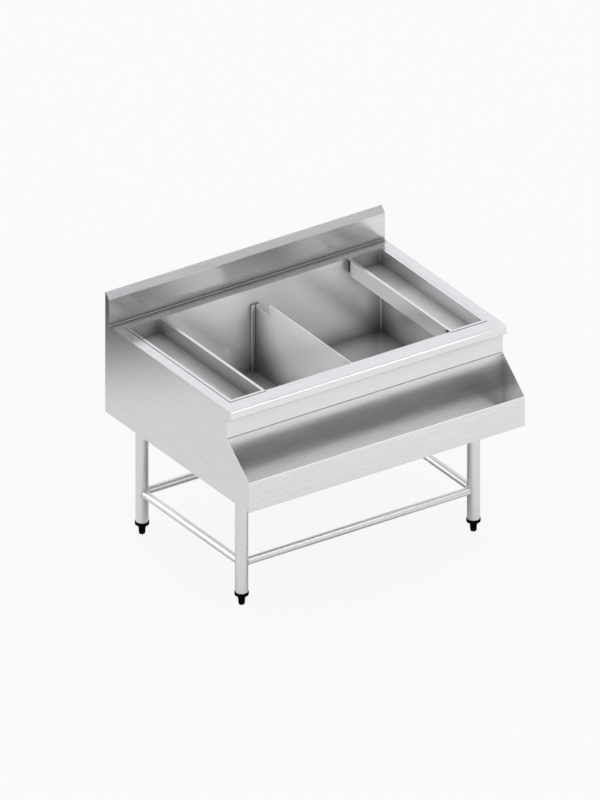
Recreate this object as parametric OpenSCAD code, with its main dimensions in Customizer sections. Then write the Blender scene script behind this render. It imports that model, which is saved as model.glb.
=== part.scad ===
// Cocktail station of folded stainless sheet, made to stand under a bar.
// An ice well with a lift-out divider and two drop-in trays lies in the worktop, a splash
// rises at the rear, a bottle rail runs along the front, and tube legs carry the body.
// Millimetres, Z up. The origin lies on the floor, midway between the two sides and
// midway between the back and the lip of the rail. The front faces minus Y.

/* [Body] */
// Width over the side panels
station_w = 1000; // [800:10:1600]
// Depth from the back to the front panel
body_depth = 660; // [600:10:800]
// Height of the worktop above the floor
worktop_h = 706; // [640:1:900]
// Height of the body under the worktop face
body_h = 300; // [260:5:340]
// Thickness of the body sheet
sheet_t = 1.5; // [1:0.1:2]
// Inside radius of a pressed fold
fold_r = 1.5; // [0.8:0.1:3]
// Height of the rim round the base pan
pan_h = 15; // [10:1:25]

/* [Splash and worktop] */
// Height of the splash above the worktop
splash_h = 110; // [60:5:250]
// Thickness of the splash, front to back
splash_t = 20; // [15:1:40]
// Height of the sloping top of the splash
splash_slope_h = 20; // [10:1:30]
// Inside radius of the sharp fold at the top of the splash
crest_r = 0.4; // [0.2:0.1:1]
// How far the top of the splash folds down at the back
splash_return = 12; // [8:1:20]
// How far the nosing stands out from the front panel
nosing_out = 20; // [12:1:35]
// Height of the nosing
nosing_h = 30; // [20:1:45]
// Outside radius along the nosing's upper edge
nosing_r = 8; // [4:0.5:10]
// Worktop left beside the opening at each end
rim_side = 40; // [30:1:80]
// Worktop left behind the opening, measured from the back
rim_rear = 60; // [50:1:90]
// Worktop left in front of the opening, measured from the nosing
rim_front = 60; // [50:1:90]

/* [Bottle rail] */
// Depth of the rail in front of the body
rail_depth = 120; // [90:5:160]
// Height of the rail's back
rail_back_h = 200; // [120:5:230]
// Height of the rail's lip
rail_lip_h = 100; // [60:5:115]
// Height of the hem folded flat inside the lip
rail_hem_h = 12; // [8:1:20]

/* [Ice well] */
// Thickness of the foam under the well's floor
floor_foam_t = 17; // [15:1:60]
// Corner radius of the well, seen from above
well_r = 6; // [3:0.5:20]
// Width of the flange that holds the well under the worktop
well_flange = 12; // [8:1:20]

/* [Trays] */
// Overall width of a tray
tray_w = 130; // [100:5:180]
// Depth of a tray under the worktop face
tray_depth = 50; // [30:1:100]
// Width of the flange round a tray
tray_flange = 10; // [8:1:16]
// How far the flange lies on the worktop
tray_lap = 5; // [3:0.5:6]
// How far the skirt on the free side stops short of each end of the opening
skirt_back = 20; // [14:1:60]
// Thickness of the tray sheet
tray_t = 1.2; // [0.8:0.1:1.5]
// Corner radius inside a tray
tray_r = 4; // [2:0.5:10]

/* [Divider] */
// Thickness of the divider
divider_t = 2; // [1:0.1:3]
// How far the divider's top edge lies under the worktop face
divider_drop = 20; // [10:1:40]
// Length of the notch at the divider's rear corner
notch_l = 80; // [40:5:150]
// Depth of that notch
notch_h = 40; // [20:1:60]
// Radius of the divider's corners
divider_r = 3; // [1:0.5:8]
// Radius of the melt-water notches under the divider
melt_r = 12; // [6:1:20]
// Width of a divider guide
guide_w = 30; // [24:1:50]
// How far a guide stands out from the well's wall
guide_out = 8; // [6:0.5:15]
// Width of the slot in a guide
guide_slot = 5; // [4.5:0.1:8]
// How far a guide's top lies under the worktop face
guide_drop = 53; // [45:1:90]
// Thickness of the guide sheet
guide_t = 1.2; // [0.8:0.1:1.5]

/* [Stand] */
// Diameter of a leg
leg_d = 40; // [35:0.5:50]
// Wall of a leg
leg_wall = 1.5; // [1:0.1:2]
// Leg axis, measured from the side panel's face
leg_in_side = 80; // [60:1:150]
// Rear leg axis, measured from the back
leg_in_rear = 80; // [60:1:150]
// Front leg axis, measured from the front panel's face
leg_in_front = 40; // [40:1:120]
// Diameter of a brace tube
brace_d = 25; // [20:0.5:28]
// Wall of a brace tube
brace_wall = 1.2; // [0.8:0.1:2]
// Height of the brace axes above the floor
brace_h = 142; // [100:1:250]
// Side of the square plate on a leg
plate_w = 70; // [66:1:74]
// Thickness of that plate
plate_t = 4; // [3:0.5:6]
// Diameter of the leg bolts
bolt_d = 8; // [6:0.5:8]

/* [Feet] */
// Diameter of the collar under a leg
collar_d = 44; // [42:0.5:60]
// Height of that collar
collar_h = 11; // [8:0.5:20]
// Rounding of the collar's lower edge
collar_r = 3; // [1:0.5:4]
// Diameter at the top of a foot
foot_d = 23.5; // [20:0.5:30]
// Diameter near the bottom of a foot
foot_tip_d = 20; // [16:0.5:20]
// Height of a foot under its collar
foot_h = 33; // [25:1:45]
// Rounding of a foot's lower edge
foot_r = 6; // [3:0.5:7]
// Diameter of the threaded stem on a foot
stem_d = 12; // [8:0.5:14]
// Length of that stem
stem_l = 58; // [50:1:70]
// Length of the plug inside the leg
plug_l = 30; // [20:1:40]

/* [Drain] */
// Diameter of the drain's thread through the well's floor
drain_d = 47.8; // [40:0.1:50]
// Diameter of the drain's outlet spigot
spigot_d = 40; // [30:0.5:40]
// Length of the outlet spigot
spigot_l = 35; // [25:1:50]
// Wall of the drain casting
drain_wall = 3; // [2:0.1:4]
// Drain axis, measured from the middle of the well towards the left
drain_off = 230; // [150:5:300]

/* [Hidden] */

// Smoothness of curves
$fn = 64;
// Overrun that carries a cut clear of a face
over = 1;
// Gap between a curved end or plug and the tube that it is welded or pressed to
weld_gap = 0.3;
// Radial clearance of a stem in its thread
thread_gap = 0.05;
// Clearance at each end of the divider
divider_gap = 1;
// Degrees of arc between the points of a rounded outline, and of a turned one
arc_step = 7.5;
turned_step = 15;

// Main planes
half_w = station_w / 2;
rear_y = (body_depth + rail_depth) / 2;
lip_y = -rear_y;
panel_y = rear_y - body_depth;
nose_y = panel_y - nosing_out;
deck_z = worktop_h;
base_z = deck_z - body_h;
splash_y = rear_y - splash_t;
splash_z = deck_z + splash_h;
inner_half_w = half_w - sheet_t;

// Opening and well
open_half_w = half_w - rim_side;
open_rear_y = rear_y - rim_rear;
open_front_y = nose_y + rim_front;
open_y = (open_rear_y + open_front_y) / 2;
open_size = [2 * open_half_w, open_rear_y - open_front_y];
well_under_z = base_z + sheet_t + floor_foam_t;
well_z = well_under_z + sheet_t;
well_depth = deck_z - well_z;

// The fold at the crest of the splash turns back on itself, which lowers the finished top
crest_turn = 90 + atan2(splash_slope_h, splash_t);
crest_rise = (crest_r + sheet_t) * (tan(crest_turn / 2) - 1);

// Outer face of the worktop sheet, from the back of the splash to the foot of the nosing
worktop_path = [
    [rear_y, splash_z - splash_return],
    [rear_y, splash_z + crest_rise],
    [splash_y, splash_z - splash_slope_h],
    [splash_y, deck_z],
    [nose_y, deck_z],
    [nose_y, deck_z - nosing_h],
    [panel_y, deck_z - nosing_h]
];
worktop_radii = [crest_r, fold_r, fold_r, nosing_r - sheet_t, fold_r];

// Outer face of the rail sheet, from the lip to the top of the back
rail_path = [
    [lip_y, base_z + rail_lip_h],
    [lip_y, base_z],
    [panel_y, base_z],
    [panel_y, base_z + rail_back_h]
];
rail_radii = [fold_r, fold_r];

// Outline of a side panel, with the radius of each corner
side_outline = [
    [rear_y, base_z],
    [rear_y, splash_z + crest_rise],
    [splash_y, splash_z - splash_slope_h],
    [splash_y, deck_z],
    [nose_y, deck_z],
    [nose_y, deck_z - nosing_h],
    [panel_y, deck_z - nosing_h],
    [panel_y, base_z + rail_back_h],
    [lip_y, base_z + rail_lip_h],
    [lip_y, base_z]
];
fold_face_r = fold_r + sheet_t;
side_radii = [0, crest_r + sheet_t, fold_face_r, 0, nosing_r, fold_face_r, 0, 0, 0, fold_face_r];

// Legs: plan positions and names in the order front left, front right, rear left, rear right
leg_x = half_w - leg_in_side;
leg_rear_y = rear_y - leg_in_rear;
leg_front_y = panel_y + leg_in_front;
leg_spots = [[-leg_x, leg_front_y], [leg_x, leg_front_y], [-leg_x, leg_rear_y], [leg_x, leg_rear_y]];
plate_z = base_z - plate_t;
collar_top_z = foot_h + collar_h;
leg_bore_d = leg_d - 2 * leg_wall;

// Bolted joint between a leg and the body
pad_t = plate_t;
bolt_spread = plate_w / 2 - bolt_d - sheet_t;
bolt_gap = bolt_d / 16;
bolt_tip = bolt_d / 4;
head_d = 2 * bolt_d;
head_h = bolt_d * 2 / 3;
pad_z = base_z + sheet_t;
pad_top_z = pad_z + pad_t;

// Inside of the body sheets and outside of the well
lining_half_w = inner_half_w - sheet_t;
lining_rear_y = rear_y - 2 * sheet_t;
lining_front_y = panel_y + 2 * sheet_t;
lining_top_z = deck_z - 2 * sheet_t;
tub_half_w = open_half_w + sheet_t;
tub_rear_y = open_rear_y + sheet_t;
tub_front_y = open_front_y - sheet_t;

// Trays
tray_outer_x = open_half_w + tray_lap;
tray_free_x = tray_outer_x - tray_w;
tray_top_z = deck_z + tray_t;
tray_floor_z = deck_z - tray_depth;
tray_rear_y = open_rear_y + tray_lap;
tray_front_y = open_front_y - tray_lap;
tray_len = tray_rear_y - tray_front_y;
tray_x = (tray_outer_x + tray_free_x) / 2;
tray_in = [tray_w - 2 * tray_flange, tray_len - 2 * tray_flange];

// Divider and its guides
guide_top_z = deck_z - guide_drop;
guide_fold_r = guide_t / 2;
divider_rear_y = open_rear_y - guide_t - divider_gap;
divider_front_y = open_front_y + guide_t + divider_gap;
divider_top_z = deck_z - divider_drop;
divider_h = divider_top_z - well_z;
divider_l = divider_rear_y - divider_front_y;
melt_shares = [0.25, 0.75];

// Drain, a stack of turned rings on one axis
drain_x = -drain_off;
drain_flange_share = 1.55;
drain_flange_d = drain_d * drain_flange_share;
drain_flange_t = drain_wall * 2 / 3;
drain_seat_d = drain_flange_d - 4 * drain_wall;
drain_bore_d = spigot_d - 2 * drain_wall;
gasket_t = drain_wall;
nut_h = 2 * drain_wall;
nut_share = 1.3;
nut_af = drain_d * nut_share;
drain_gap = drain_wall / 6;
drain_thread_z = base_z - sheet_t;
drain_end_z = drain_thread_z - spigot_l;
strainer_t = drain_flange_t / 2;
strainer_rows = [[1, 6], [2, 12]];
strainer_hole_d = drain_seat_d / 9;
strainer_pitch = drain_seat_d / 6;
screw_d = drain_wall * 2;

steel = "gainsboro";
bright_steel = "whitesmoke";
black_plastic = "#222222";

function unit(v) = v / norm(v);
function left_of(v) = [-v[1], v[0]];
function turn(p, i) =
    let (a = p[i] - p[i - 1], b = p[i + 1] - p[i])
    atan2(a[0] * b[1] - a[1] * b[0], a * b);
// Length that a fold takes from each straight that meets it
function fold_cut(p, i, r, t) = (turn(p, i) > 0 ? r + t : r) * tan(abs(turn(p, i)) / 2);
// Points of one fold, on the drawn face or on the back of the sheet
function fold_arc(p, i, r, t, on_back) =
    let (
        angle = turn(p, i),
        along = unit(p[i] - p[i - 1]),
        start = p[i] - along * fold_cut(p, i, r, t),
        side = left_of(along) * (angle > 0 ? 1 : -1),
        centre = start + side * (angle > 0 ? r + t : r),
        radius = (angle > 0) == on_back ? r : r + t,
        steps = ceil(abs(angle) / arc_step)
    )
    [for (k = [0:steps]) centre - turned(side * radius, angle * k / steps)];

// Cross-section of a folded sheet. The path runs along one face, with the sheet on its left.
module folded_strip(path, radii, t) {
    last = len(path) - 1;
    start_side = left_of(unit(path[1] - path[0])) * t;
    end_side = left_of(unit(path[last] - path[last - 1])) * t;
    face = [for (i = [1:last - 1]) for (point = fold_arc(path, i, radii[i - 1], t, false)) point];
    back = [for (i = [last - 1:-1:1]) let (points = fold_arc(path, i, radii[i - 1], t, true))
        for (k = [len(points) - 1:-1:0]) points[k]];
    polygon(concat([path[0]], face, [path[last], path[last] + end_side], back, [path[0] + start_side]));
}

// Outline with each corner rounded to its own radius
function rounded(points, radii) = [
    for (i = [0:len(points) - 1])
        let (
            p = points[i],
            a = unit(points[(i + len(points) - 1) % len(points)] - p),
            b = unit(points[(i + 1) % len(points)] - p),
            half = acos(a * b) / 2,
            r = radii[i],
            centre = p + unit(a + b) * r / sin(half),
            steps = ceil((180 - 2 * half) / arc_step)
        )
        for (point = r == 0 ? [p] : corner_arc(p + a * r / tan(half), p + b * r / tan(half), centre, steps))
            point
];
function corner_arc(from, to, centre, steps) =
    let (
        u = from - centre,
        v = to - centre,
        sweep = acos(unit(u) * unit(v)),
        sense = sign(u[0] * v[1] - u[1] * v[0])
    )
    [for (k = [0:steps]) centre + turned(u, sense * sweep * k / steps)];
function turned(v, angle) = [v[0] * cos(angle) - v[1] * sin(angle), v[0] * sin(angle) + v[1] * cos(angle)];

// Pushes a Y-Z section along X, from x to x + length
module along_x(x, length) {
    translate([x, 0, 0]) rotate([90, 0, 90]) linear_extrude(length) children();
}

// Rectangle round its own centre, with round corners
module round_rect(size, r) {
    square([size[0] - 2 * r, size[1]], center = true);
    square([size[0], size[1] - 2 * r], center = true);
    for (sx = [-1, 1], sy = [-1, 1]) translate([sx * (size[0] / 2 - r), sy * (size[1] / 2 - r)]) circle(r);
}

module block(low, high) {
    translate(low) cube(high - low);
}

// Flat side sheet with the profile of the splash, the nosing and the rail
module side_panel(side) {
    color(steel) along_x(side > 0 ? inner_half_w : -half_w, sheet_t)
        polygon(rounded(side_outline, side_radii));
}

module back_panel() {
    color(steel)
        block([-inner_half_w, rear_y - sheet_t, base_z], [inner_half_w, rear_y, splash_z - splash_return]);
}

module front_panel() {
    color(steel) block([-inner_half_w, panel_y, base_z], [inner_half_w, panel_y + sheet_t, deck_z - sheet_t]);
}

// Splash, worktop and nosing, pressed from one sheet
module worktop() {
    color(bright_steel) difference() {
        along_x(-inner_half_w, 2 * inner_half_w) folded_strip(worktop_path, worktop_radii, sheet_t);
        translate([0, open_y, deck_z - sheet_t - over])
            linear_extrude(sheet_t + 2 * over) round_rect(open_size, well_r);
    }
}

// Bottle rail, with a hem folded flat along the lip
module speed_rail() {
    hem_z = base_z + rail_lip_h;
    color(steel) along_x(-inner_half_w, 2 * inner_half_w) {
        folded_strip(rail_path, rail_radii, sheet_t);
        translate([lip_y + sheet_t, hem_z - rail_hem_h]) square([sheet_t, rail_hem_h]);
        translate([lip_y + sheet_t, hem_z]) intersection() {
            circle(sheet_t);
            translate([-sheet_t, 0]) square([2 * sheet_t, sheet_t]);
        }
    }
}

// Shallow pan that closes the body from below
module base_pan() {
    color(steel) difference() {
        block([-inner_half_w, panel_y + sheet_t, base_z], [inner_half_w, rear_y - sheet_t, base_z + pan_h]);
        block(
            [-lining_half_w, lining_front_y, base_z + sheet_t],
            [lining_half_w, lining_rear_y, base_z + pan_h + over]
        );
        for (spot = leg_spots) bolt_holes(spot, base_z - over, sheet_t + 2 * over);
        translate([drain_x, open_y, base_z - over])
            cylinder(d = drain_d + 2 * drain_wall, h = sheet_t + 2 * over);
    }
}

// Holes of one leg's four bolts
module bolt_holes(spot, z, depth) {
    for (sx = [-1, 1], sy = [-1, 1])
        translate([spot[0] + sx * bolt_spread, spot[1] + sy * bolt_spread, z])
            cylinder(d = bolt_d + 2 * bolt_gap, h = depth);
}

// Welded tub with a flange under the worktop
module ice_well() {
    color(steel) translate([0, open_y, 0]) difference() {
        union() {
            translate([0, 0, well_under_z]) linear_extrude(deck_z - sheet_t - well_under_z)
                round_rect([open_size[0] + 2 * sheet_t, open_size[1] + 2 * sheet_t], well_r + sheet_t);
            translate([0, 0, deck_z - 2 * sheet_t]) linear_extrude(sheet_t)
                round_rect(
                    [open_size[0] + 2 * well_flange, open_size[1] + 2 * well_flange],
                    well_r + well_flange
                );
        }
        translate([0, 0, well_z]) linear_extrude(well_depth) round_rect(open_size, well_r);
        translate([drain_x, 0, well_under_z - over])
            cylinder(d = drain_d + 2 * drain_gap, h = sheet_t + 2 * over);
    }
}

// Slotted channel on the rear wall of the well, which holds an end of the divider
module guide_channel() {
    front = open_rear_y - guide_out;
    path = [
        [guide_slot / 2, front],
        [guide_w / 2, front],
        [guide_w / 2, open_rear_y],
        [-guide_w / 2, open_rear_y],
        [-guide_w / 2, front],
        [-guide_slot / 2, front]
    ];
    translate([0, 0, well_z]) linear_extrude(guide_top_z - well_z)
        folded_strip(path, [guide_fold_r, guide_fold_r, guide_fold_r, guide_fold_r], guide_t);
}

module divider_guide_rear() {
    color(steel) guide_channel();
}

module divider_guide_front() {
    color(steel) translate([0, open_y, 0]) mirror([0, 1, 0]) translate([0, -open_y, 0]) guide_channel();
}

// Slab of foam, cut clear of the pads and bolts that stand on the base pan
module foam(low, high) {
    color("khaki") difference() {
        block(low, high);
        for (spot = leg_spots) {
            translate([spot[0], spot[1], base_z]) linear_extrude(pad_top_z + 2 * bolt_tip - base_z)
                square(plate_w + 2 * sheet_t, center = true);
        }
        translate([drain_x, open_y, base_z]) cylinder(d = nut_af + 6 * drain_wall, h = well_z - base_z);
    }
}

module insulation_side(side) {
    mirror([side > 0 ? 1 : 0, 0, 0]) foam(
        [-lining_half_w, lining_front_y, base_z + sheet_t],
        [-tub_half_w, lining_rear_y, lining_top_z - sheet_t]
    );
}

module insulation_rear() {
    foam([-tub_half_w, tub_rear_y, base_z + sheet_t], [tub_half_w, lining_rear_y, lining_top_z - sheet_t]);
}

module insulation_front() {
    foam([-tub_half_w, lining_front_y, base_z + sheet_t], [tub_half_w, tub_front_y, lining_top_z - sheet_t]);
}

module insulation_base() {
    foam([-tub_half_w, tub_front_y, base_z + sheet_t], [tub_half_w, tub_rear_y, well_under_z]);
}

// Four threaded pads on the base pan, one over each leg
module mounting_pads() {
    color("silver") for (spot = leg_spots) difference() {
        translate([spot[0], spot[1], pad_z]) linear_extrude(pad_t)
            round_rect([plate_w, plate_w], bolt_d / 2);
        bolt_holes(spot, pad_z - over, pad_t + 2 * over);
    }
}

// Hexagon bolts that draw the leg plates to the pads
module leg_bolts() {
    color("silver") for (spot = leg_spots, sx = [-1, 1], sy = [-1, 1])
        translate([spot[0] + sx * bolt_spread, spot[1] + sy * bolt_spread, plate_z]) {
            cylinder(d = bolt_d, h = pad_top_z + bolt_tip - plate_z);
            translate([0, 0, -head_h]) cylinder(d = head_d, h = head_h, $fn = 6);
        }
}

module leg_plate(spot) {
    color("silver") difference() {
        translate([spot[0], spot[1], plate_z]) linear_extrude(plate_t)
            round_rect([plate_w, plate_w], bolt_d / 2);
        bolt_holes(spot, plate_z - over, plate_t + 2 * over);
    }
}

// Leg tube, open at both ends, from the collar to its plate
module leg(spot) {
    color(steel) translate([spot[0], spot[1], collar_top_z]) difference() {
        cylinder(d = leg_d, h = plate_z - collar_top_z);
        translate([0, 0, -over]) cylinder(d = leg_bore_d, h = plate_z - collar_top_z + 2 * over);
    }
}

// Brace tube between two legs, its ends coped to the curve of the legs
module brace(from, to) {
    span = to - from;
    color(steel) difference() {
        translate([from[0], from[1], brace_h]) rotate([0, 90, atan2(span[1], span[0])]) difference() {
            cylinder(d = brace_d, h = norm(span));
            translate([0, 0, -over]) cylinder(d = brace_d - 2 * brace_wall, h = norm(span) + 2 * over);
        }
        for (spot = [from, to])
            translate([spot[0], spot[1], brace_h - brace_d])
                cylinder(d = leg_d + 2 * weld_gap, h = 2 * brace_d);
    }
}

// Quarter circle from one angle to another, as points of a turned profile
function arc(centre, r, from, to) =
    [for (angle = [from:turned_step:to]) centre + r * [cos(angle), sin(angle)]];

// Moulded collar with a plug up the leg, threaded for the foot's stem
module foot_insert(spot) {
    plug_r = leg_bore_d / 2 - weld_gap;
    bore_r = stem_d / 2 + thread_gap;
    color(black_plastic) translate([spot[0], spot[1], foot_h]) rotate_extrude() polygon(concat(
        [[bore_r, 0]],
        arc([collar_d / 2 - collar_r, collar_r], collar_r, -90, 0),
        [
            [collar_d / 2, collar_h],
            [plug_r, collar_h],
            [plug_r, collar_h + plug_l],
            [bore_r, collar_h + plug_l]
        ]
    ));
}

// Bullet foot with its threaded stem
module foot(spot) {
    color(black_plastic) translate([spot[0], spot[1], 0]) rotate_extrude() polygon(concat(
        [[0, 0]],
        arc([foot_tip_d / 2 - foot_r, foot_r], foot_r, -90, 0),
        [[foot_d / 2, foot_h], [stem_d / 2, foot_h], [stem_d / 2, foot_h + stem_l], [0, foot_h + stem_l]]
    ));
}

// Flanged waste, threaded through the floor, with a spigot below the body
module drain_body() {
    thread_r = drain_d / 2;
    bore_r = drain_bore_d / 2;
    seat_r = drain_seat_d / 2;
    seat_z = well_z + strainer_t;
    color("silver") translate([drain_x, open_y, 0]) rotate_extrude() polygon([
        [bore_r, drain_end_z],
        [spigot_d / 2, drain_end_z],
        [spigot_d / 2, drain_thread_z],
        [thread_r, drain_thread_z],
        [thread_r, well_z],
        [drain_flange_d / 2, well_z],
        [drain_flange_d / 2 - drain_flange_t, well_z + drain_flange_t],
        [seat_r, well_z + drain_flange_t],
        [seat_r, seat_z],
        [bore_r, seat_z]
    ]);
}

module drain_ring(z, outer_d, h, sides) {
    translate([drain_x, open_y, z]) difference() {
        cylinder(d = outer_d, h = h, $fn = sides);
        translate([0, 0, -over]) cylinder(d = drain_d + 2 * drain_gap, h = h + 2 * over);
    }
}

module drain_gasket() {
    color("dimgray") drain_ring(well_under_z - gasket_t, nut_af, gasket_t, $fn);
}

module drain_nut() {
    color("silver") drain_ring(well_under_z - gasket_t - nut_h, nut_af / cos(30), nut_h, 6);
}

// Perforated disc in the seat of the drain
module drain_strainer() {
    color("silver") translate([drain_x, open_y, well_z + strainer_t]) difference() {
        cylinder(d = drain_seat_d - 2 * drain_gap, h = strainer_t);
        translate([0, 0, -over]) cylinder(d = screw_d + 2 * drain_gap, h = strainer_t + 2 * over);
        for (row = strainer_rows, k = [1:row[1]])
            rotate(k * 360 / row[1]) translate([row[0] * strainer_pitch, 0, -over])
                cylinder(d = strainer_hole_d, h = strainer_t + 2 * over, $fn = 16);
    }
}

// Screw at the centre of the strainer
module strainer_screw() {
    color("silver") translate([drain_x, open_y, well_z]) {
        cylinder(d = screw_d, h = 2 * strainer_t);
        translate([0, 0, 2 * strainer_t]) cylinder(d = 2 * screw_d, h = strainer_t);
    }
}

// Drop-in tray whose flange lies on the worktop on three sides and ends in a skirt on the fourth
module tray(side) {
    mirror([side < 0 ? 1 : 0, 0, 0]) color(bright_steel) difference() {
        union() {
            translate([tray_x, open_y, deck_z]) linear_extrude(tray_t)
                square([tray_w, tray_len], center = true);
            translate([tray_x, open_y, tray_floor_z - tray_t]) linear_extrude(tray_depth + tray_t)
                round_rect([tray_in[0] + 2 * tray_t, tray_in[1] + 2 * tray_t], tray_r + tray_t);
            block([tray_free_x, open_front_y + skirt_back, tray_floor_z - tray_t],
                [tray_free_x + tray_t, open_rear_y - skirt_back, deck_z]);
        }
        translate([tray_x, open_y, tray_floor_z]) linear_extrude(tray_depth + tray_t + over)
            round_rect(tray_in, tray_r);
    }
}

// Divider plate, notched at the rear and along the floor
module divider() {
    outline = [
        [divider_front_y, well_z],
        [divider_rear_y, well_z],
        [divider_rear_y, divider_top_z - notch_h],
        [divider_rear_y - notch_l, divider_top_z - notch_h],
        [divider_rear_y - notch_l, divider_top_z],
        [divider_front_y, divider_top_z]
    ];
    color(steel) along_x(-divider_t / 2, divider_t) difference() {
        polygon(rounded(outline, [divider_r, divider_r, divider_r, 0, divider_r, divider_r]));
        for (share = melt_shares) translate([divider_front_y + divider_l * share, well_z]) circle(melt_r);
    }
}

side_panel(-1);  // side_panel_left
side_panel(1);  // side_panel_right
back_panel();
front_panel();
worktop();
speed_rail();
base_pan();
ice_well();
divider_guide_rear();
divider_guide_front();
insulation_side(-1);  // insulation_left
insulation_side(1);  // insulation_right
insulation_rear();
insulation_front();
insulation_base();
mounting_pads();
leg_bolts();
leg_plate(leg_spots[0]);  // leg_plate_front_left
leg_plate(leg_spots[1]);  // leg_plate_front_right
leg_plate(leg_spots[2]);  // leg_plate_rear_left
leg_plate(leg_spots[3]);  // leg_plate_rear_right
leg(leg_spots[0]);  // leg_front_left
leg(leg_spots[1]);  // leg_front_right
leg(leg_spots[2]);  // leg_rear_left
leg(leg_spots[3]);  // leg_rear_right
brace(leg_spots[0], leg_spots[1]);  // brace_front
brace(leg_spots[2], leg_spots[3]);  // brace_rear
brace(leg_spots[0], leg_spots[2]);  // brace_left
brace(leg_spots[1], leg_spots[3]);  // brace_right
foot_insert(leg_spots[0]);  // foot_insert_front_left
foot_insert(leg_spots[1]);  // foot_insert_front_right
foot_insert(leg_spots[2]);  // foot_insert_rear_left
foot_insert(leg_spots[3]);  // foot_insert_rear_right
foot(leg_spots[0]);  // foot_front_left
foot(leg_spots[1]);  // foot_front_right
foot(leg_spots[2]);  // foot_rear_left
foot(leg_spots[3]);  // foot_rear_right
drain_body();
drain_gasket();
drain_nut();
drain_strainer();
strainer_screw();
tray(-1);  // tray_left
tray(1);  // tray_right
divider();
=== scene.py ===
import math

import bmesh
import bpy
from mathutils import Matrix, Vector


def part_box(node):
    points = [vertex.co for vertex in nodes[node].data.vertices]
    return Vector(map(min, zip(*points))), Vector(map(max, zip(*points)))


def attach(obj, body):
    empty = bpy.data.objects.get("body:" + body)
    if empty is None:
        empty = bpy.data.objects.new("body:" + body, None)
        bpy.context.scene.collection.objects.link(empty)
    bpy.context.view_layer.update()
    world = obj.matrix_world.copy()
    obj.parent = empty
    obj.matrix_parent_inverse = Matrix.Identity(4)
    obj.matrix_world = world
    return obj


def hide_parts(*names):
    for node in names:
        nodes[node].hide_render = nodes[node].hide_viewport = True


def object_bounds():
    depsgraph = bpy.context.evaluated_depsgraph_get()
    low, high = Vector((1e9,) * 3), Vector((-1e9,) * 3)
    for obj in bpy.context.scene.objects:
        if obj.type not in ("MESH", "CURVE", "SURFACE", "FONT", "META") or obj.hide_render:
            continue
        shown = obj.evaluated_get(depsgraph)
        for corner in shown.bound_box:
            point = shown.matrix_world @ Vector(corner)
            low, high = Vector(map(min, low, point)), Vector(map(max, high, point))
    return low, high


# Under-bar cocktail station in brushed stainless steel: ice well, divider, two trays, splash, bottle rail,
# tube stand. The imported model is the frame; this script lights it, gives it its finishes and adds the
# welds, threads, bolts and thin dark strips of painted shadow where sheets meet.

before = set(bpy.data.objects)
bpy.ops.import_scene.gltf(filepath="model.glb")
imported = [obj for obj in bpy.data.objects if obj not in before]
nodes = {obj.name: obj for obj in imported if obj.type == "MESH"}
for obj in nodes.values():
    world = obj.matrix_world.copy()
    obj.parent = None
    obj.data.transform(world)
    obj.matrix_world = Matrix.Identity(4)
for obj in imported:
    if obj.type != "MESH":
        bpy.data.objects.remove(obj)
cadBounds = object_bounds()
print("frame loaded:", len(nodes), "nodes")

bpy.context.scene.view_settings.view_transform = "Standard"
mm = 0.001
mergeGap = 0.001 * mm  # vertices nearer than this become one
corners = ["front_left", "front_right", "rear_left", "rear_right"]

# Camera and studio

photoCamera = {
    "elevation": 28.28,  # degrees above the horizon
    "azimuth": -33.755,  # degrees, where 0 looks along +Y
    "aim": (-0.0378, 0.0253, 0.470),  # the point at the middle of the picture
    "tallSide": 2.4104,  # metres that the picture's tall side takes in
    "distance": 6,
}

studio = {
    "paper": 0.945,  # grey of the floor and the background, as the camera sees them
    "shadowShare": 0.06,  # how much of the real shading of the floor shows
    "floorSize": 40,
    "floorNear": 0.65,  # what the steel sees of the floor, beside the station
    "floorFront": 0.95,  # in front of it, reached at frontTo
    "frontFrom": 0.6,
    "frontTo": 2.4,
    "floorRear": 0.02,  # behind it, reached at rearTo
    "rearFrom": 1.25,
    "rearTo": 1.9,
    "floorFar": 0.6,  # far behind it, reached at farTo
    "farFrom": 2.2,
    "farTo": 3.2,
    "paintedUnderShadow": 0.35,  # painted shadow: share of the floor's grey left under the station
    "shadeFrom": 0.5,  # in half widths and half depths of the station
    "shadeTo": 1.5,
    "frontTurn": 8,  # degrees, from straight ahead to the right
    "rearTurn": 20,  # degrees, from straight behind to the left
    "sky": 0.9,  # between the patches
    "fill": 1.25,  # what the satin haze sees in place of the sky
    "skyTint": (0.98, 0.988, 1.02),
    "overhead": 1.0,
    "overheadFrom": 0.74,  # height on a sky of radius 1 at which the overhead light begins
    "overheadFull": 0.92,
}

# Soft boxes and dark cards far round the station, each a round patch of the sky that only the steel sees.
# Azimuths are in degrees: 0 is straight behind the station, 90 to its right, 180 in front.
skyPatches = [
    {"azimuth": 62, "elevation": 26, "inner": 22, "outer": 46, "grey": 0.78},
    {"azimuth": -36, "elevation": 30, "inner": 14, "outer": 40, "grey": 1.5},
    {"azimuth": 142, "elevation": 22, "inner": 14, "outer": 26, "grey": 0.05},
    {"azimuth": 180, "elevation": 20, "inner": 16, "outer": 30, "grey": 0.05},
    {"azimuth": 224, "elevation": 22, "inner": 18, "outer": 34, "grey": 0.15},
    {"azimuth": 74, "elevation": 60, "inner": 6, "outer": 16, "grey": 0.5},
]

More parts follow.
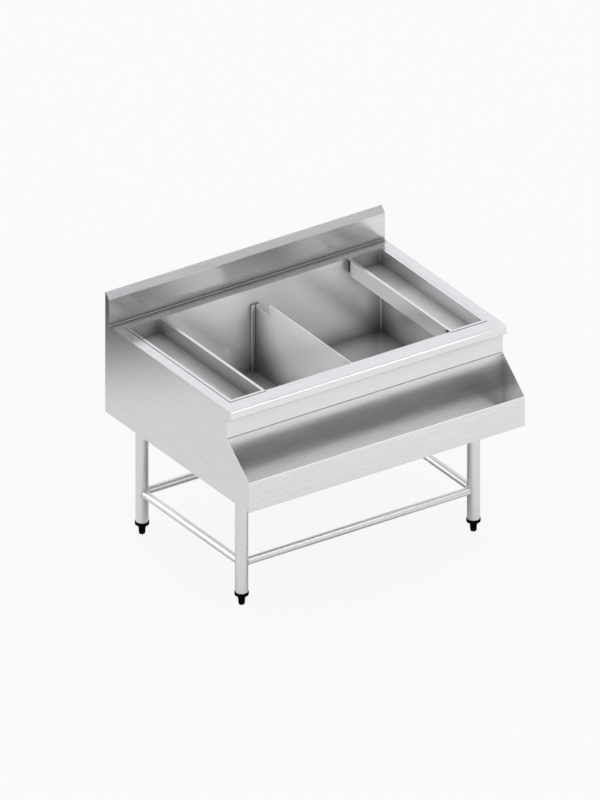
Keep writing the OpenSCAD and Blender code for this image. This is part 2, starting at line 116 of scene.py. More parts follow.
# Cards that stand near the station, so that only a part of it mirrors them. The edge is the card's right
# edge, seen along its direction from the station's middle; the level is the height at the station of the
# line through its middle.
cards = {
    "darkCard": {  # darkens the left tray
        "azimuth": -33.8, "elevation": 28.3, "distance": 1.6, "level": 0.75,
        "edge": -0.18, "wide": 1.2, "tall": 0.75, "grey": 0.12,
    },
    "paleCard": {  # lights the right end of the rail
        "azimuth": 213.8, "elevation": 28.3, "distance": 1.6, "level": 0.45,
        "edge": -0.42, "wide": 0.5, "tall": 0.7, "grey": 1.5,
    },
    "lowCard": {  # lights the rail
        "azimuth": 146, "elevation": 0, "distance": 1, "level": 0.71,
        "edge": 1, "wide": 2, "tall": 0.85, "grey": 0.76,
    },
    "thinCard": {  # lights the nosing's round edge
        "azimuth": 180, "elevation": 0, "distance": 0.75, "level": 0.94,
        "edge": 0.7, "wide": 1.8, "tall": 0.14, "grey": 3,
    },
}


def lookDirection(elevation, azimuth):
    # the way a camera looks that stands at this elevation
    flat = math.cos(math.radians(elevation))
    turn = math.radians(azimuth)
    return Vector((-math.sin(turn) * flat, math.cos(turn) * flat, -math.sin(math.radians(elevation))))


def outwardDirection(elevation, azimuth):
    # from the station to a patch or a card
    return -lookDirection(elevation, 180 - azimuth)


def makeCamera():
    toward = lookDirection(photoCamera["elevation"], photoCamera["azimuth"])
    data = bpy.data.cameras.new("photoCamera")
    data.type = "ORTHO"
    data.ortho_scale = photoCamera["tallSide"]
    camera = bpy.data.objects.new("photoCamera", data)
    camera.location = Vector(photoCamera["aim"]) - toward * photoCamera["distance"]
    camera.rotation_euler = toward.to_track_quat("-Z", "Y").to_euler()
    bpy.context.scene.collection.objects.link(camera)
    bpy.context.scene.camera = camera


def emptyTree(owner):
    owner.use_nodes = True
    owner.node_tree.nodes.clear()
    return owner.node_tree


def addNode(tree, kind, settings=None, **inputs):
    # an input goes by its name, or by i and its number; a socket is linked to it, any other value is set
    made = tree.nodes.new(kind)
    for key, value in (settings or {}).items():
        setattr(made, key, value)
    for key, value in inputs.items():
        socket = made.inputs[int(key[1:]) if key[0] == "i" and key[1:].isdigit() else key]
        if isinstance(value, bpy.types.NodeSocket):
            tree.links.new(value, socket)
        else:
            socket.default_value = value
    return made


def ramp(tree, value, start, end, low=0, high=1, smooth=False):
    # low where the value is at start, high where it is at end
    settings = {"interpolation_type": "SMOOTHSTEP"} if smooth else {}
    made = addNode(tree, "ShaderNodeMapRange", settings, Value=value, i1=start, i2=end, i3=low, i4=high)
    return made.outputs[0]


def times(tree, one, other):
    return addNode(tree, "ShaderNodeMath", {"operation": "MULTIPLY"}, i0=one, i1=other).outputs[0]


def reachAlong(tree, vector, direction):
    made = addNode(tree, "ShaderNodeVectorMath", {"operation": "DOT_PRODUCT"}, i0=vector, i1=direction)
    return made.outputs["Value"]


def vectorTimes(tree, vector, shares):
    made = addNode(tree, "ShaderNodeVectorMath", {"operation": "MULTIPLY"}, i0=vector, i1=shares)
    return made.outputs[0]


def plainGrey(grey):
    return (grey, grey, grey, 1)


def linkMesh(name, shape, finish):
    mesh = bpy.data.meshes.new(name)
    shape.to_mesh(mesh)
    shape.free()
    mesh.materials.append(finish)
    made = bpy.data.objects.new(name, mesh)
    bpy.context.scene.collection.objects.link(made)
    return made


def addPiece(name, shape, body, finish, replaces=()):
    piece = linkMesh(name, shape, finish)
    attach(piece, body)
    if replaces:
        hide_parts(*replaces)


def makePaper():
    finish = bpy.data.materials.new("palePaper")
    tree = emptyTree(finish)
    path = addNode(tree, "ShaderNodeLightPath")
    # the camera sees flat paper with a little of its real shading
    shaded = addNode(tree, "ShaderNodeBsdfDiffuse", Color=plainGrey(studio["paper"]))
    flat = addNode(tree, "ShaderNodeEmission", Color=plainGrey(studio["paper"]))
    seen = addNode(tree, "ShaderNodeMixShader", i0=1 - studio["shadowShare"], i1=shaded.outputs[0],
                   i2=flat.outputs[0])
    # the steel sees paper that is well lit in front and falls off behind the station
    place = addNode(tree, "ShaderNodeTexCoord").outputs["Object"]
    frontTurn = math.radians(studio["frontTurn"])
    rearTurn = math.radians(studio["rearTurn"])
    ahead = reachAlong(tree, place, (math.sin(frontTurn), -math.cos(frontTurn), 0))
    behind = reachAlong(tree, place, (-math.sin(rearTurn), math.cos(rearTurn), 0))
    grey = ramp(tree, ahead, studio["frontFrom"], studio["frontTo"], studio["floorNear"],
                studio["floorFront"], smooth=True)
    grey = ramp(tree, behind, studio["rearFrom"], studio["rearTo"], grey, studio["floorRear"], smooth=True)
    grey = ramp(tree, behind, studio["farFrom"], studio["farTo"], grey, studio["floorFar"], smooth=True)
    # and with a painted shadow under the station
    low, high = cadBounds
    outward = vectorTimes(tree, place, (2 / (high[0] - low[0]), 2 / (high[1] - low[1]), 0))
    away = addNode(tree, "ShaderNodeVectorMath", {"operation": "LENGTH"}, i0=outward).outputs["Value"]
    paintedShade = ramp(tree, away, studio["shadeFrom"], studio["shadeTo"], studio["paintedUnderShadow"], smooth=True)
    mirrored = addNode(tree, "ShaderNodeEmission", Color=times(tree, grey, paintedShade))
    picked = addNode(tree, "ShaderNodeMixShader", i0=path.outputs["Is Camera Ray"], i1=mirrored.outputs[0],
                     i2=seen.outputs[0])
    addNode(tree, "ShaderNodeOutputMaterial", Surface=picked.outputs[0])
    return finish


def makeFloor():
    shape = bmesh.new()
    bmesh.ops.create_grid(shape, x_segments=1, y_segments=1, size=studio["floorSize"] / 2)
    floor = linkMesh("floor", shape, makePaper())


def makeSky():
    world = bpy.data.worlds.new("studio")
    bpy.context.scene.world = world
    tree = emptyTree(world)
    direction = addNode(tree, "ShaderNodeTexCoord").outputs["Generated"]
    height = addNode(tree, "ShaderNodeSeparateXYZ", Vector=direction).outputs["Z"]
    grey = ramp(tree, height, studio["overheadFrom"], studio["overheadFull"], studio["sky"],
                studio["overhead"], smooth=True)
    for patch in skyPatches:
        near = reachAlong(tree, direction, outwardDirection(patch["elevation"], patch["azimuth"]))
        outer = math.cos(math.radians(patch["outer"]))
        inner = math.cos(math.radians(patch["inner"]))
        inside = ramp(tree, near, outer, inner, smooth=True)
        grey = addNode(tree, "ShaderNodeMix", Factor=inside, i2=grey, i3=patch["grey"]).outputs[0]
    cool = addNode(tree, "ShaderNodeVectorMath", {"operation": "SCALE"}, i0=studio["skyTint"], Scale=grey)
    sky = addNode(tree, "ShaderNodeBackground", Color=cool.outputs[0])
    flat = addNode(tree, "ShaderNodeBackground", Color=plainGrey(studio["paper"]))
    fill = addNode(tree, "ShaderNodeBackground", Color=plainGrey(1), Strength=studio["fill"])
    path = addNode(tree, "ShaderNodeLightPath")
    lit = addNode(tree, "ShaderNodeMixShader", i0=path.outputs["Is Diffuse Ray"], i1=sky.outputs[0],
                  i2=fill.outputs[0])
    mixed = addNode(tree, "ShaderNodeMixShader", i0=path.outputs["Is Camera Ray"], i1=lit.outputs[0],
                    i2=flat.outputs[0])
    addNode(tree, "ShaderNodeOutputWorld", Surface=mixed.outputs[0])


def makeCard(name, card):
    outward = outwardDirection(card["elevation"], card["azimuth"])
    across = outward.cross(Vector((0, 0, 1))).normalized()
    upward = across.cross(outward)
    middle = Vector((0, 0, card["level"])) + outward * card["distance"]
    middle += across * (card["edge"] - card["wide"] / 2)
    turned = Matrix((across, upward, across.cross(upward))).transposed().to_4x4()
    sized = Matrix.Diagonal((card["wide"], card["tall"], 1, 1))
    shape = bmesh.new()
    bmesh.ops.create_grid(shape, x_segments=1, y_segments=1, size=0.5,
                          matrix=Matrix.Translation(middle) @ turned @ sized)
    finish = bpy.data.materials.new(name)
    tree = emptyTree(finish)
    glow = addNode(tree, "ShaderNodeEmission", Color=plainGrey(card["grey"]))
    addNode(tree, "ShaderNodeOutputMaterial", Surface=glow.outputs[0])
    placed = linkMesh(name, shape, finish)
    # only what mirrors the card sees it
    placed.visible_camera = False
    placed.visible_diffuse = False
    placed.visible_shadow = False


makeCamera()
makeFloor()
makeSky()
for name, card in cards.items():
    makeCard(name, card)
print("camera, floor, sky and cards ready")

# Finishes

sheetLook = {
    "grey": 0.94,
    "tint": (1, 1, 1.004),  # shares of red, green and blue
    "metallic": 0.9,  # the rest is a satin haze
    "roughness": 0.17,
    "streakRough": 0.03,  # change of roughness from streak to streak
    "anisotropy": 0.3,
    "streakWidth": 1.8 * mm,
    "streakLength": 110 * mm,
    "streakDetail": 3,
    "streakSharp": 0.65,
    "streak": 0.07,  # share by which streaks are lighter or darker
    "streakDepth": 0.2 * mm,
    "streakBump": 0.15,
    "cloud": 0.02,  # change of roughness over a hand's width
    "cloudScale": 6,
    "cloudDetail": 2,
    "paintedCreaseShade": 0.6,  # painted shade: share of grey left in a tight corner
    "creaseFrom": 0.2,  # openness of a tight corner
    "creaseTo": 0.95,
    "creaseReach": 24 * mm,
    "creaseSamples": 8,
    "paintedSideShades": [],  # painted shade: axis and sign that a face looks along, and the share of grey left there
}
# the finishes below differ in how much painted shade they get in their corners and creases
tubeLook = dict(sheetLook, roughness=0.25)
panelLook = dict(sheetLook, paintedCreaseShade=0.35, creaseReach=90 * mm)
apronLook = dict(sheetLook, paintedCreaseShade=0.45, creaseReach=50 * mm)
worktopLook = dict(sheetLook, roughness=0.21, paintedCreaseShade=0.38, creaseFrom=0.5, creaseTo=0.98,
                   creaseReach=25 * mm)
trayLook = dict(sheetLook, metallic=0.6, roughness=0.16, paintedCreaseShade=0.4, creaseReach=50 * mm)
# painted light and shade: the well's steel is painted a little lighter than the sheet, its floor and right
# wall a little darker
wellLook = dict(sheetLook, grey=0.98, metallic=0.52, roughness=0.11, streak=0.1, paintedCreaseShade=0.12, creaseTo=0.88,
                creaseReach=100 * mm, paintedSideShades=[("Z", 1, 0.8), ("X", -1, 0.82)])
dividerLook = dict(wellLook, metallic=0.25, paintedCreaseShade=0.15, creaseFrom=0.45, creaseTo=0.82,
                   creaseReach=190 * mm, paintedSideShades=[])
# painted shade: the inside of the rail's lip is painted dark; the rail's floor is satin
railLook = dict(sheetLook, roughness=0.23, paintedCreaseShade=0.9, creaseReach=40 * mm, floorMetallic=0,
                paintedSideShades=[("Y", 1, 0.2)])

trayPaintedShade = {
    "wall": 0.52,  # painted shade: share of grey left on the tray's inner walls
    "floor": 0.72,  # and on its floor
    "wallFrom": 2 * mm,  # distances of a wall from the tray's middle, where its shade begins and is full
    "wallTo": 20 * mm,
    "lip": 0.4 * mm,  # how far below the top of the flange the shade begins
}

noiseSpan = (0.3, 0.7)  # nearly all of a noise lies in it
facingSpan = (0.5, 0.9)  # share of a face's normal along an axis, from which it counts as looking that way
sidewaysFrom = 0.6  # share of the normal along X, from which the grain of a folded sheet turns


def paintedTrayShade(tree, place, normal, node):
    # gives the painted shade inside a tray, as the share of grey left there, and a mask that is 0 on its
    # flange and 1 below it
    low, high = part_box(node)
    middle = (low + high) / 2
    outward = addNode(tree, "ShaderNodeVectorMath", {"operation": "MULTIPLY_ADD"}, i0=place, i1=(1, 1, 0),
                      i2=(-middle.x, -middle.y, 0)).outputs[0]
    facing = reachAlong(tree, normal, outward)
    height = addNode(tree, "ShaderNodeSeparateXYZ", Vector=place).outputs["Z"]
    upward = addNode(tree, "ShaderNodeSeparateXYZ", Vector=normal).outputs["Z"]
    lip = trayPaintedShade["lip"]
    deep = ramp(tree, height, high.z - lip, high.z - 2 * lip)
    wall = ramp(tree, facing, -trayPaintedShade["wallFrom"], -trayPaintedShade["wallTo"])
    floor = ramp(tree, upward, *facingSpan)
    paintedWallShade = ramp(tree, wall, 0, 1, 1, trayPaintedShade["wall"])
    paintedFloorShade = ramp(tree, floor, 0, 1, 1, trayPaintedShade["floor"])
    paintedShade = ramp(tree, deep, 0, 1, 1, times(tree, paintedWallShade, paintedFloorShade))
    return paintedShade, deep


def brushedGrain(tree, place, sideways, grain, look):
    # gives the place on a pattern that is stretched along the grain, and the grain's direction
    across = 1 / look["streakWidth"]
    along = 1 / look["streakLength"]
    scales = {"x": (along, across, across), "y": (across, along, across), "z": (across, across, along)}
    tangents = {"x": (1, 0, 0), "y": (0, 1, 0), "z": (0, 0, 1)}
    if grain in scales:
        tangent = addNode(tree, "ShaderNodeCombineXYZ", i0=tangents[grain][0], i1=tangents[grain][1],
                          i2=tangents[grain][2])
        return vectorTimes(tree, place, scales[grain]), tangent.outputs[0]
    size = addNode(tree, "ShaderNodeMath", {"operation": "ABSOLUTE"}, i0=sideways)
    turned = addNode(tree, "ShaderNodeMath", {"operation": "GREATER_THAN"}, i0=size.outputs[0],
                     i1=sidewaysFrom)
    picked = addNode(tree, "ShaderNodeMix", {"data_type": "VECTOR"}, Factor=turned.outputs[0],
                     i4=vectorTimes(tree, place, scales["x"]), i5=vectorTimes(tree, place, scales["y"]))
    tangent = addNode(tree, "ShaderNodeMix", {"data_type": "VECTOR"}, Factor=turned.outputs[0],
                      i4=tangents["x"], i5=tangents["y"])
    return picked.outputs[1], tangent.outputs[1]


def brushedSteel(name, grain, look=sheetLook, inside=None):
    # grain is x, y or z, or "sheet": along X, but along Y on faces that look sideways; inside names a tray
    # whose inner walls and floor get painted shade
    finish = bpy.data.materials.new(name)
    tree = emptyTree(finish)
    place = addNode(tree, "ShaderNodeTexCoord").outputs["Object"]
    normal = addNode(tree, "ShaderNodeNewGeometry").outputs["Normal"]
    facing = addNode(tree, "ShaderNodeSeparateXYZ", Vector=normal)
    grainPlace, tangent = brushedGrain(tree, place, facing.outputs["X"], grain, look)
    streaks = addNode(tree, "ShaderNodeTexNoise", Vector=grainPlace, Scale=1, Detail=look["streakDetail"],
                      Roughness=look["streakSharp"]).outputs[0]
    clouds = addNode(tree, "ShaderNodeTexNoise", Vector=place, Scale=look["cloudScale"],
                     Detail=look["cloudDetail"]).outputs[0]

    grey = look["grey"]
    streak = look["streak"]
    shaded = ramp(tree, streaks, *noiseSpan, grey * (1 - streak), min(grey * (1 + streak), 1))
    # painted shade: the colour is darker where the surface is enclosed, in corners and creases
    openness = addNode(tree, "ShaderNodeAmbientOcclusion", {"samples": look["creaseSamples"]},
                       Distance=look["creaseReach"]).outputs["AO"]
    shaded = times(tree, shaded, ramp(tree, openness, look["creaseFrom"], look["creaseTo"], look["paintedCreaseShade"]))
    # painted shade: the inner walls and floor of a tray get a darker colour
    if inside:
        paintedShade, deep = paintedTrayShade(tree, place, normal, inside)
        shaded = times(tree, shaded, paintedShade)
    # painted shade: faces that look along the listed axes get a darker colour
    for axis, sign, share in look["paintedSideShades"]:
        start, end = facingSpan
        shaded = times(tree, shaded, ramp(tree, facing.outputs[axis], start * sign, end * sign, 1, share))
    tint = look["tint"]
    colour = addNode(tree, "ShaderNodeVectorMath", {"operation": "SCALE"}, i0=tint, Scale=shaded)

    metallic = look["metallic"]
    if inside:
        # the flange is as bright as the worktop
        metallic = ramp(tree, deep, 0, 1, sheetLook["metallic"], metallic)
    if "floorMetallic" in look:
        metallic = ramp(tree, facing.outputs["Z"], *facingSpan, metallic, look["floorMetallic"])
    rough = ramp(tree, streaks, *noiseSpan, look["roughness"] - look["streakRough"],
                 look["roughness"] + look["streakRough"])
    wear = ramp(tree, clouds, *noiseSpan, -look["cloud"], look["cloud"])
    roughness = addNode(tree, "ShaderNodeMath", {"operation": "ADD"}, i0=rough, i1=wear)
    bump = addNode(tree, "ShaderNodeBump", Height=streaks, Strength=look["streakBump"],
                   Distance=look["streakDepth"])
    shader = addNode(tree, "ShaderNodeBsdfPrincipled", Metallic=metallic, Roughness=roughness.outputs[0],
                     Anisotropic=look["anisotropy"], Tangent=tangent, Normal=bump.outputs[0])
    shader.inputs["Base Color"].default_value = (*[grey * share for share in tint], 1)
    tree.links.new(colour.outputs[0], shader.inputs["Base Color"])
    addNode(tree, "ShaderNodeOutputMaterial", Surface=shader.outputs[0])
    return finish


plainLook = {
    "grainScale": 900,
    "grainDetail": 2,
    "grainDepth": 0.05 * mm,
    "grainBump": 0.3,
    "grainRough": 0.06,  # change of roughness over the grain
}


def plainFinish(name, colour, roughness, metallic=0, specular=0.5):
    finish = bpy.data.materials.new(name)
    tree = emptyTree(finish)
    place = addNode(tree, "ShaderNodeTexCoord").outputs["Object"]
    grain = addNode(tree, "ShaderNodeTexNoise", Vector=place, Scale=plainLook["grainScale"],
                    Detail=plainLook["grainDetail"]).outputs[0]
    rough = ramp(tree, grain, *noiseSpan, roughness - plainLook["grainRough"],
                 roughness + plainLook["grainRough"])
    bump = addNode(tree, "ShaderNodeBump", Height=grain, Strength=plainLook["grainBump"],
                   Distance=plainLook["grainDepth"])
    shader = addNode(tree, "ShaderNodeBsdfPrincipled", Metallic=metallic, Roughness=rough,
                     Normal=bump.outputs[0])
    shader.inputs["Base Color"].default_value = (*colour, 1)
    shader.inputs["Specular IOR Level"].default_value = specular
    addNode(tree, "ShaderNodeOutputMaterial", Surface=shader.outputs[0])
    return finish


finishes = {
    "sheet": brushedSteel("brushedSheet", "sheet"),
    "depth": brushedSteel("brushedAlongDepth", "y", panelLook),
    "rail": brushedSteel("brushedRail", "x", railLook),
    "well": brushedSteel("brushedWell", "sheet", wellLook),
    "guide": brushedSteel("brushedGuide", "z", wellLook),
    "divider": brushedSteel("brushedDivider", "y", dividerLook),
    "apron": brushedSteel("brushedApron", "x", apronLook),
    "trayLeft": brushedSteel("brushedTrayLeft", "y", trayLook, "tray_left"),
    "trayRight": brushedSteel("brushedTrayRight", "y", trayLook, "tray_right"),
    "worktop": brushedSteel("brushedWorktop", "sheet", worktopLook),
    "tubeUp": brushedSteel("brushedTubeUpright", "z", tubeLook),
    "tubeX": brushedSteel("brushedTubeAcross", "x", tubeLook),
    "tubeY": brushedSteel("brushedTubeDepth", "y", tubeLook),
    "zinc": plainFinish("zincPlate", (0.62, 0.62, 0.6), 0.42, metallic=1),
    "drain": plainFinish("satinDrain", (0.75, 0.75, 0.75), 0.3, metallic=1),
    "foam": plainFinish("foamBlock", (0.82, 0.76, 0.55), 0.9),
    "foot": plainFinish("blackPlastic", (0.001, 0.001, 0.001), 0.7, specular=0.02),
    # black rubber; also the finish of the painted shadow strips where sheets meet
    "gasket": plainFinish("rubberGasket", (0.03, 0.03, 0.03), 0.75),
    "weld": plainFinish("satinWeld", (0.78, 0.78, 0.78), 0.32, metallic=1),
}

finishOf = {
    "side_panel_left": "depth", "side_panel_right": "depth", "back_panel": "sheet", "front_panel": "apron",
    "worktop": "worktop", "speed_rail": "rail", "base_pan": "sheet", "ice_well": "well",
    "divider_guide_rear": "guide", "divider_guide_front": "guide", "divider": "divider",
    "tray_left": "trayLeft", "tray_right": "trayRight",
    "mounting_pads": "zinc", "leg_bolts": "zinc",
    "brace_front": "tubeX", "brace_rear": "tubeX", "brace_left": "tubeY", "brace_right": "tubeY",
    "drain_body": "drain", "drain_nut": "drain", "drain_strainer": "drain", "strainer_screw": "drain",
    "drain_gasket": "gasket",
}
for side in ["left", "right", "rear", "front", "base"]:
    finishOf["insulation_" + side] = "foam"
for corner in corners:
    finishOf["leg_" + corner] = "tubeUp"
    finishOf["leg_plate_" + corner] = "zinc"
    finishOf["foot_insert_" + corner] = "foot"
    finishOf["foot_" + corner] = "foot"

for name, key in finishOf.items():
    for slot in nodes[name].material_slots:
        slot.material = finishes[key]
print("finishes set")

# Welds, one piece a leg

weldLook = {
    "bead": 1.7 * mm,  # radius of the bead
    "ripples": 40,  # round one bead
    "ripple": 0.12,  # share by which a ripple swells
    "profileSides": 8,
    "roundSteps": 80,
}


def makeBead(shape, centre, axis, radius, wrapRadius=None):
    # a ring of weld round an axis, wrapped onto the tube of wrapRadius that the axis comes out of
    start = Matrix.Translation((radius, 0, 0)) @ Matrix.Rotation(math.pi / 2, 4, "X")
    made = bmesh.ops.create_circle(shape, segments=weldLook["profileSides"], radius=weldLook["bead"],
                                   matrix=start)
    profile = made["verts"] + list({edge for vert in made["verts"] for edge in vert.link_edges})
    known = set(shape.verts) - set(made["verts"])
    bmesh.ops.spin(shape, geom=profile, cent=(0, 0, 0), axis=(0, 0, 1), angle=math.tau,
                   steps=weldLook["roundSteps"], use_merge=True)
    ring = [vert for vert in shape.verts if vert not in known]
    for vert in ring:
        flat = Vector((vert.co.x, vert.co.y, 0))
        angle = math.atan2(flat.y, flat.x)
        middle = flat.normalized() * radius
        swell = 1 + weldLook["ripple"] * math.cos(angle * weldLook["ripples"])
        vert.co = middle + (vert.co - middle) * swell
        if wrapRadius:
            vert.co.z += math.sqrt(wrapRadius ** 2 - (radius * math.sin(angle)) ** 2)
    # on a level axis the ring's own X stands upright, so the wrap follows an upright tube
    upright = abs(axis.z) > 0.5
    side = Vector((1, 0, 0)) if upright else Vector((0, 0, 1))
    turned = Matrix((side, axis.cross(side), axis)).transposed().to_4x4()
    bmesh.ops.transform(shape, matrix=Matrix.Translation(centre) @ turned, verts=ring)


def makeWelds(corner):
    low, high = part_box("leg_" + corner)
    middle = (low + high) / 2
    legRadius = (high.x - low.x) / 2
    braceLow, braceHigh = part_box("brace_front")
    braceRadius = (braceHigh.z - braceLow.z) / 2
    braceCentre = Vector((middle.x, middle.y, (braceLow.z + braceHigh.z) / 2))
    inwardX = Vector((-math.copysign(1, middle.x), 0, 0))
    inwardY = Vector((0, 1 if "front" in corner else -1, 0))
    shape = bmesh.new()
    makeBead(shape, braceCentre, inwardX, braceRadius, legRadius)
    makeBead(shape, braceCentre, inwardY, braceRadius, legRadius)
    makeBead(shape, Vector((middle.x, middle.y, high.z)), Vector((0, 0, -1)), legRadius)
    bmesh.ops.recalc_face_normals(shape, faces=shape.faces)
    for face in shape.faces:
        face.smooth = True
    addPiece("weld_" + corner, shape, "body", finishes["weld"])


for corner in corners:
    makeWelds(corner)
print("welds made")

# Feet: a moulded bullet foot on a threaded stem

footLook = {
    "stem": 12 * mm,  # M12 thread
    "pitch": 1.75 * mm,
    "threadDepth": 1 * mm,
    "threadRoot": 0.1 * mm,  # how far the tooth reaches into the stem
    "crestClear": 0.05 * mm,  # inside the size of the CAD stem
    "crestFrom": 0.4,  # share of the pitch at which the tooth's flat crest begins
    "crestTo": 0.5,
    "toothTo": 0.9,  # and at which the tooth ends
    "threadSteps": 24,  # a turn
    "tipRound": 6 * mm,
    "tipSteps": 6,
    "tipInset": 1.75 * mm,  # how much slimmer the foot is at its tip
    "edge": 0.8 * mm,  # chamfer at the foot's top edge
    "dish": 0.8 * mm,  # hollow in the foot's sole
    "roundSteps": 48,
    "smoothBelow": 35,  # degrees of the bend between two faces
}


def turnProfile(shape, points, axisPoint, steps):
    # points are (radius, height) pairs, turned a full circle round an upright axis
    verts = [shape.verts.new((axisPoint.x + radius, axisPoint.y, height)) for radius, height in points]
    edges = [shape.edges.new(pair) for pair in zip(verts, verts[1:])]
    bmesh.ops.spin(shape, geom=verts + edges, cent=axisPoint, axis=(0, 0, 1), angle=math.tau, steps=steps,
                   use_merge=True)
    bmesh.ops.remove_doubles(shape, verts=shape.verts, dist=mergeGap)


def makeThread(shape, axisPoint, core, crest, low, high):
    # one turn of the tooth, swept up a helix, then copied; each turn's end meets the next turn's start
    pitch = footLook["pitch"]
    steps = footLook["threadSteps"]
    root = core - footLook["threadRoot"]
    tooth = [(root, 0), (crest, footLook["crestFrom"]), (crest, footLook["crestTo"]),
             (root, footLook["toothTo"])]
    verts = [shape.verts.new((axisPoint.x + radius, axisPoint.y, low + share * pitch))
             for radius, share in tooth]
    edges = [shape.edges.new(pair) for pair in zip(verts, verts[1:] + verts[:1])]
    known = set(shape.verts) - set(verts)
    bmesh.ops.spin(shape, geom=verts + edges, cent=axisPoint, axis=(0, 0, 1), dvec=(0, 0, pitch / steps),
                   angle=math.tau, steps=steps, use_merge=False)
    turn = [vert for vert in shape.verts if vert not in known]
    turnFaces = list({face for vert in turn for face in vert.link_faces})
    for number in range(1, math.floor((high - low) / pitch)):
        grown = bmesh.ops.duplicate(shape, geom=turn + turnFaces)["geom"]
        copied = [item for item in grown if isinstance(item, bmesh.types.BMVert)]
        bmesh.ops.translate(shape, verts=copied, vec=(0, 0, pitch * number))
    bmesh.ops.remove_doubles(shape, verts=shape.verts, dist=mergeGap)
    ends = [line for line in shape.edges if line.is_boundary]
    bmesh.ops.holes_fill(shape, edges=ends, sides=len(tooth))


def makeFoot(corner):
    name = "foot_" + corner
    low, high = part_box(name)
    middle = (low + high) / 2
    axisPoint = Vector((middle.x, middle.y, 0))
    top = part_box("foot_insert_" + corner)[0].z
    topRadius = (high.x - low.x) / 2
    bend = footLook["tipRound"]
    bendRadius = topRadius - footLook["tipInset"] - bend  # where the sole's round edge begins
    edge = footLook["edge"]
    dish = footLook["dish"]
    crest = footLook["stem"] / 2 - footLook["crestClear"]
    core = crest - footLook["threadDepth"]

    shape = bmesh.new()
    arc = []
    for step in range(footLook["tipSteps"] + 1):
        angle = math.pi / 2 * step / footLook["tipSteps"]
        arc.append((bendRadius + bend * math.sin(angle), bend - bend * math.cos(angle)))
    points = [(0, dish), (bendRadius - edge, dish), *arc, (topRadius, top - edge), (topRadius - edge, top),
              (core, top), (core, high.z - edge), (core - edge, high.z), (0, high.z)]
    turnProfile(shape, points, axisPoint, footLook["roundSteps"])
    makeThread(shape, axisPoint, core, crest, top - edge, high.z - footLook["pitch"])
    bmesh.ops.recalc_face_normals(shape, faces=shape.faces)
    for face in shape.faces:
        face.smooth = True
    for line in shape.edges:
        line.smooth = line.calc_face_angle(0) < math.radians(footLook["smoothBelow"])
    addPiece("threaded_" + name, shape, name, finishes["foot"], [name])


for corner in corners:
    makeFoot(corner)
print("feet made")

# Bolts under the leg plates, with hexagon heads

boltLook = {
    "flat": 13 * mm,  # across flats
    "washer": 16 * mm,
    "washerThick": 1.4 * mm,
    "shank": 8 * mm,
    "crown": 0.7 * mm,  # height of the head's chamfer
    "crownSteps": 2,
    "roundSteps": 32,
}


def makeBolt(shape, axisPoint, headLow, plateLow, tipHigh):
    crown = boltLook["crown"]
    washer = boltLook["washer"] / 2
    shank = boltLook["shank"] / 2
    under = plateLow - boltLook["washerThick"]
    cornerRadius = boltLook["flat"] / 2 / math.cos(math.pi / 6)
    head = bmesh.ops.create_circle(shape, cap_ends=True, segments=6, radius=cornerRadius,
                                   matrix=Matrix.Translation((axisPoint.x, axisPoint.y, under)))
    grown = bmesh.ops.extrude_face_region(shape, geom=[head["verts"][0].link_faces[0]])["geom"]
    lowVerts = [item for item in grown if isinstance(item, bmesh.types.BMVert)]
    lowFace = [item for item in grown if isinstance(item, bmesh.types.BMFace)][0]
    bmesh.ops.translate(shape, verts=lowVerts, vec=(0, 0, headLow - under))
    bmesh.ops.bevel(shape, geom=list(lowFace.edges), affect="EDGES", offset=crown,
                    segments=boltLook["crownSteps"], profile=0.5, material=-1)
    points = [(0, under), (washer - crown / 2, under), (washer, under + crown / 2), (washer, plateLow),
              (shank, plateLow), (shank, tipHigh - crown), (shank - crown, tipHigh), (0, tipHigh)]
    turnProfile(shape, points, axisPoint, boltLook["roundSteps"])


def makeBolts():
    low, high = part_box("leg_bolts")
    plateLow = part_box("leg_plate_front_left")[0].z
    firstLow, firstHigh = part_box("leg_front_left")
    # from a leg's axis to a bolt's, along X and along Y
    spread = (firstLow.x + firstHigh.x) / 2 - low.x - boltLook["washer"] / 2
    shape = bmesh.new()
    for corner in corners:
        legLow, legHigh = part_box("leg_" + corner)
        middle = (legLow + legHigh) / 2
        for sideX in (-1, 1):
            for sideY in (-1, 1):
                axisPoint = Vector((middle.x + sideX * spread, middle.y + sideY * spread, 0))
                makeBolt(shape, axisPoint, low.z, plateLow, high.z)
    bmesh.ops.recalc_face_normals(shape, faces=shape.faces)
    addPiece("flanged_bolts", shape, "body", finishes["zinc"], ["leg_bolts"])


makeBolts()
print("bolts made")
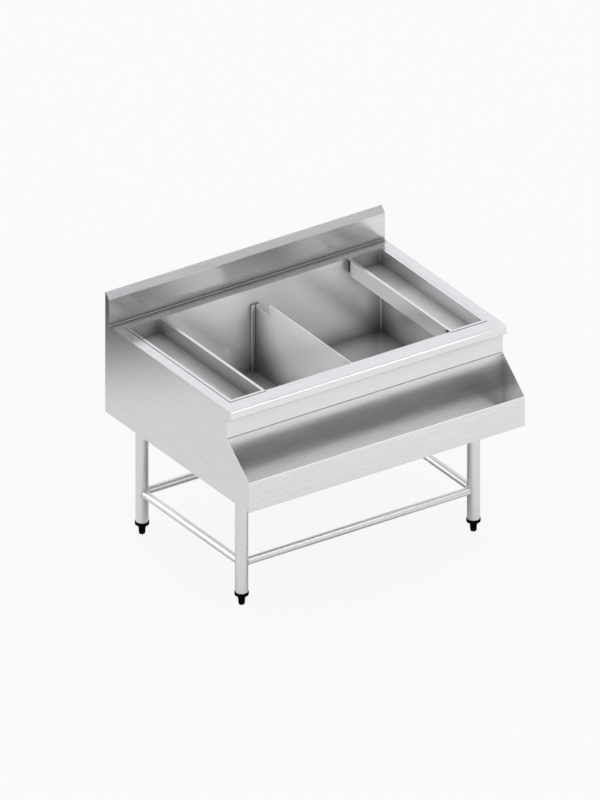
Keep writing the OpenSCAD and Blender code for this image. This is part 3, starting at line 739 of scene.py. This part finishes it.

# Painted shadow lines: thin dark strips where sheets meet, standing in for the shade in the gaps

shadowLineLook = {
    "railTall": 1.3 * mm,  # painted shadow strip along the top edge of the rail's back sheet
    "railOut": 1 * mm,
    "trayWide": 1.2 * mm,  # painted shadow strip beside a tray's flange
    "trayTall": 0.8 * mm,
    "trayFlange": 1.2 * mm,  # thickness of the flange, which lies on the worktop
    "endStop": 2 * mm,  # bare length at each end of the bead
    "roundSteps": 6,
}


def stripAlong(shape, start, end, wide, tall, outward):
    # a strip with a rounded top from start to end; outward points away from the sheet that it runs along
    steps = shadowLineLook["roundSteps"]
    verts = [shape.verts.new(start), shape.verts.new(start + outward * wide)]
    for step in range(1, steps + 1):
        angle = math.pi / 2 * step / steps
        lift = Vector((0, 0, tall * math.sin(angle)))
        verts.append(shape.verts.new(start + outward * wide * math.cos(angle) + lift))
    section = shape.faces.new(verts)
    grown = bmesh.ops.extrude_face_region(shape, geom=[section], use_keep_orig=True)["geom"]
    moved = [item for item in grown if isinstance(item, bmesh.types.BMVert)]
    bmesh.ops.translate(shape, verts=moved, vec=end - start)


def makeRailShadowLine():
    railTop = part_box("speed_rail")[1].z
    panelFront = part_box("front_panel")[0].y
    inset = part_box("side_panel_left")[1].x + shadowLineLook["endStop"]
    shape = bmesh.new()
    stripAlong(shape, Vector((inset, panelFront, railTop)), Vector((-inset, panelFront, railTop)),
               shadowLineLook["railOut"], shadowLineLook["railTall"], Vector((0, -1, 0)))
    bmesh.ops.recalc_face_normals(shape, faces=shape.faces)
    addPiece("rail_painted_shadow_line", shape, "body", finishes["gasket"])


def makeTrayShadowLine(side):
    name = "tray_" + side
    low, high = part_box(name)
    outward = -1 if side == "left" else 1
    outerX = low.x if side == "left" else high.x
    innerX = high.x if side == "left" else low.x
    deck = high.z - shadowLineLook["trayFlange"]
    wide = shadowLineLook["trayWide"]
    tall = shadowLineLook["trayTall"]
    frontCorner = Vector((outerX, low.y, deck))
    shape = bmesh.new()
    stripAlong(shape, frontCorner, Vector((outerX, high.y, deck)), wide, tall, Vector((outward, 0, 0)))
    stripAlong(shape, frontCorner, Vector((innerX, low.y, deck)), wide, tall, Vector((0, -1, 0)))
    bmesh.ops.recalc_face_normals(shape, faces=shape.faces)
    addPiece("painted_shadow_line_" + name, shape, name, finishes["gasket"])


makeRailShadowLine()
for side in ["left", "right"]:
    makeTrayShadowLine(side)
print("seals made")
